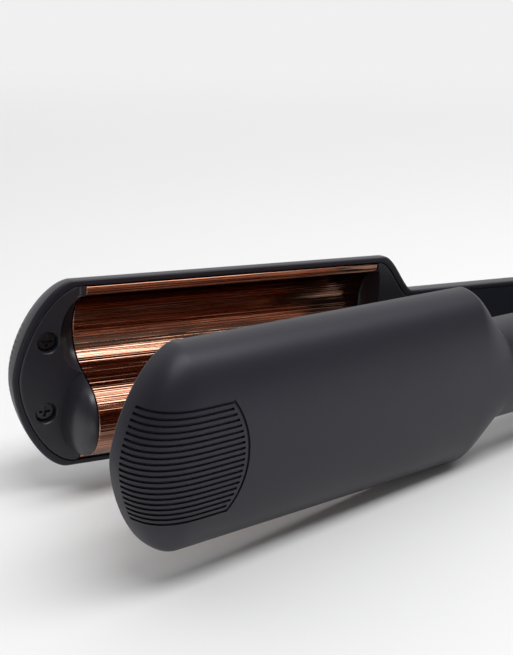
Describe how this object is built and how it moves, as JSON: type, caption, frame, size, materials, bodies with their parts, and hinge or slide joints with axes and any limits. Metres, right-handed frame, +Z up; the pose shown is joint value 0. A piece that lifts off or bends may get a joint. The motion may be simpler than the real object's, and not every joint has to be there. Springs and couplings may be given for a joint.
{
  "type": "hair waver",
  "caption": "Deep-wave hair waver with two hinged arms, nesting S-shaped copper plates and a matt charcoal shell with a grooved grip patch.",
  "frame": {"origin": "centre of the whole waver's box, on the surface it rests on", "axes": "+X from the tips towards the cord end along the middle between the arms, +Y towards the rear arm that carries the controls, +Z up along the hinge axis"},
  "size_m": [0.3436, 0.0884, 0.06],
  "materials": {
    "shell": "matt soft-touch charcoal",
    "plate": "mirror-polished copper-tone coating",
    "cover": "satin black heat-resistant plastic",
    "handle_face": "gloss black",
    "screw": "black oxide",
    "spreader": "machined",
    "heater": "film-wrapped heater pack",
    "clamp": "spring steel",
    "insulator": "mica sheet",
    "sensor": "glass bead",
    "fuse": "metal case",
    "wire": "silicone sleeve",
    "tail": "matt soft-touch charcoal",
    "cap": "gloss black",
    "pin": "ground steel",
    "bush": "sintered bronze",
    "bracket": "die-cast",
    "gland": "satin black",
    "contact": "plated contact",
    "board": "laminate with green mask",
    "switch": "moulded switch",
    "button": "gloss black",
    "window": "smoked translucent plastic",
    "lamp": "diffused lamp"
  },
  "bodies": {
    "rear_arm": {"rear_outer_shell": "shell", "rear_wave_plate": "plate", "rear_tip_cover": "cover", "rear_neck_cover": "cover", "rear_handle_cover": "handle_face", "rear_tip_screws": "screw", "rear_neck_screws": "screw", "rear_handle_screws": "screw", "rear_heat_spreader": "spreader", "rear_heater": "heater", "rear_heater_clamp": "clamp", "rear_insulator": "insulator", "rear_thermistor": "sensor", "rear_thermal_fuse": "fuse", "rear_lead_wires": "wire", "rear_hinge_screws": "screw", "tail_upper": "tail", "tail_lower": "tail", "tail_screw": "screw", "hinge_pin": "pin", "hinge_cap_upper": "cap", "hinge_cap_lower": "cap", "contact_brushes": "contact", "control_board": "board", "board_screws": "screw", "tact_switches": "switch", "indicator_window": "window", "indicator_lamps": "lamp", "power_wires": "wire"},
    "front_arm": {"front_outer_shell": "shell", "front_wave_plate": "plate", "front_tip_cover": "cover", "front_neck_cover": "cover", "front_handle_cover": "handle_face", "front_tip_screws": "screw", "front_neck_screws": "screw", "front_handle_screws": "screw", "front_heat_spreader": "spreader", "front_heater": "heater", "front_heater_clamp": "clamp", "front_insulator": "insulator", "front_thermistor": "sensor", "front_thermal_fuse": "fuse", "front_lead_wires": "wire", "front_hinge_screws": "screw", "hinge_bracket": "bracket", "hinge_bush": "bush", "hinge_spring": "clamp"},
    "swivel": {"swivel_gland": "gland", "slip_rings": "contact"},
    "power_key": {"power_button": "button"},
    "plus_key": {"plus_button": "button"},
    "minus_key": {"minus_button": "button"}
  },
  "joints": [
    {"name": "arm_hinge", "type": "hinge", "parent": "rear_arm", "child": "front_arm", "pos_m": [0.1266, 0, 0.03], "axis": [0, 0, -1], "range_deg": [0, 10.5], "stiffness_Nm_per_rad": 1.5, "springref_deg": -8.59},
    {"name": "cord_swivel", "type": "hinge", "parent": "rear_arm", "child": "swivel", "pos_m": [0.1505, -0.00213, 0.03], "axis": [0.996, -0.0889, 0], "continuous": true},
    {"name": "power_press", "type": "slide", "parent": "rear_arm", "child": "power_key", "axis": [0.0889, 0.996, 0], "range_m": [0, 0.0007], "stiffness_N_per_m": 800, "springref_m": -0.0005},
    {"name": "plus_press", "type": "slide", "parent": "rear_arm", "child": "plus_key", "axis": [0.0889, 0.996, 0], "range_m": [0, 0.0007], "stiffness_N_per_m": 800, "springref_m": -0.0005},
    {"name": "minus_press", "type": "slide", "parent": "rear_arm", "child": "minus_key", "axis": [0.0889, 0.996, 0], "range_m": [0, 0.0007], "stiffness_N_per_m": 800, "springref_m": -0.0005}
  ]
}
